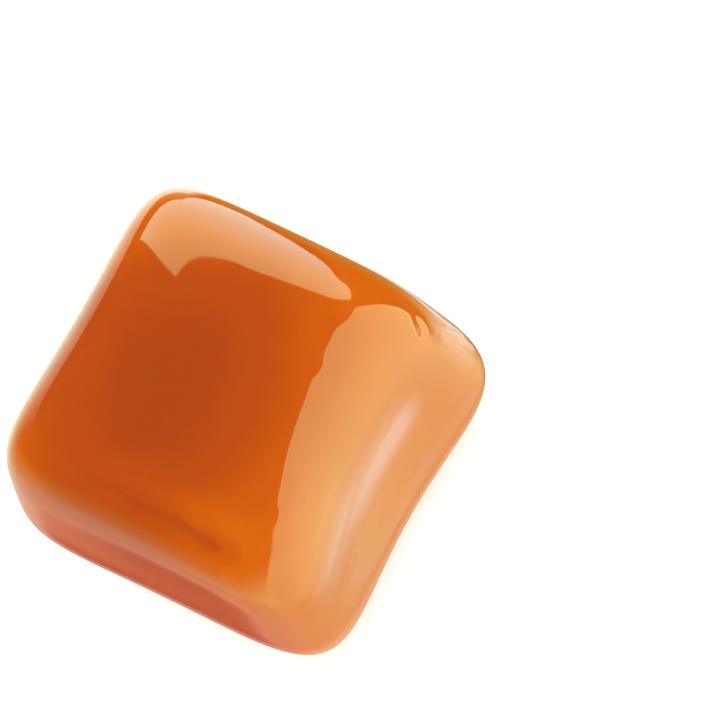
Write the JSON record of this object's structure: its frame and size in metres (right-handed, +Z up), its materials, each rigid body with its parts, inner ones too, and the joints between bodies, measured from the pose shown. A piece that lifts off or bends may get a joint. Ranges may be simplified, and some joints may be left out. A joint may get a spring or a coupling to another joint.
{
  "type": "butterscotch candy",
  "caption": "Soft square butterscotch candy with rounded corners, a foot wider than its top, and slightly hollow sides, lying on its back face.",
  "frame": {"origin": "centre of the candy's box at the height of its flat underside", "axes": "+Z up out of the shown square face, +X towards the side with the deepest waist, +Y towards the straighter end"},
  "size_m": [0.0196, 0.0198, 0.0156],
  "materials": {
    "butterscotch": "glossy cooked sugar, slightly translucent, darker amber at heart and clearer orange at the rounded edges"
  },
  "bodies": {
    "root": {"butterscotch_block": "butterscotch"}
  },
  "joints": []
}
